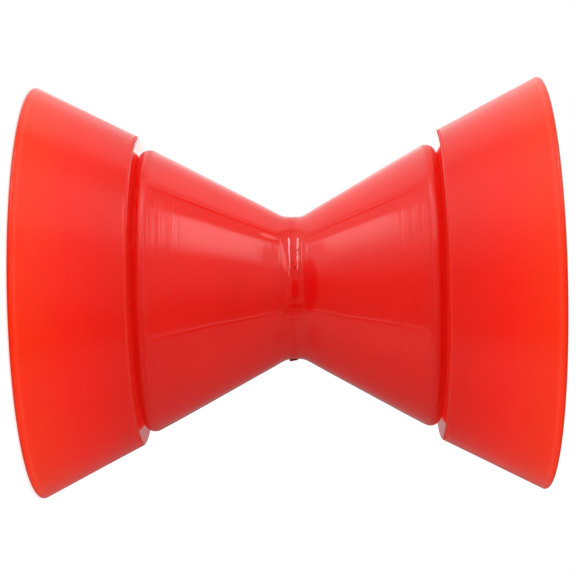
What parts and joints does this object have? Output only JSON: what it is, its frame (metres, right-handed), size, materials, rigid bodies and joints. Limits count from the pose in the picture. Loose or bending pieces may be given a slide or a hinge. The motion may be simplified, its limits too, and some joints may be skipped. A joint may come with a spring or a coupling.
{
  "type": "boat trailer roller",
  "caption": "Hourglass bow roller with cup-shaped end bells that turn on a shaft and guide a boat's bow onto its trailer.",
  "frame": {"origin": "on the axis, in the plane of the left bell's rim, on which the part stands", "axes": "+Z along the axis from the left bell to the right bell, +X towards the gate nub"},
  "size_m": [0.0892, 0.0892, 0.1088],
  "materials": {
    "roller_plastic": "glossy translucent deep red soft plastic, as moulded",
    "bell_plastic": "glossy translucent orange-red soft plastic, as moulded, thin walls"
  },
  "bodies": {
    "roller": {"centre_roller": "roller_plastic"},
    "left_bell": {"left_bell": "bell_plastic"},
    "right_bell": {"right_bell": "bell_plastic"}
  },
  "joints": [
    {"name": "left_bell_spin", "type": "hinge", "parent": "roller", "child": "left_bell", "pos_m": [0, 0, 0.0111], "axis": [0, 0, 1], "continuous": true},
    {"name": "right_bell_spin", "type": "hinge", "parent": "roller", "child": "right_bell", "pos_m": [0, 0, 0.0977], "axis": [0, 0, 1], "continuous": true}
  ]
}
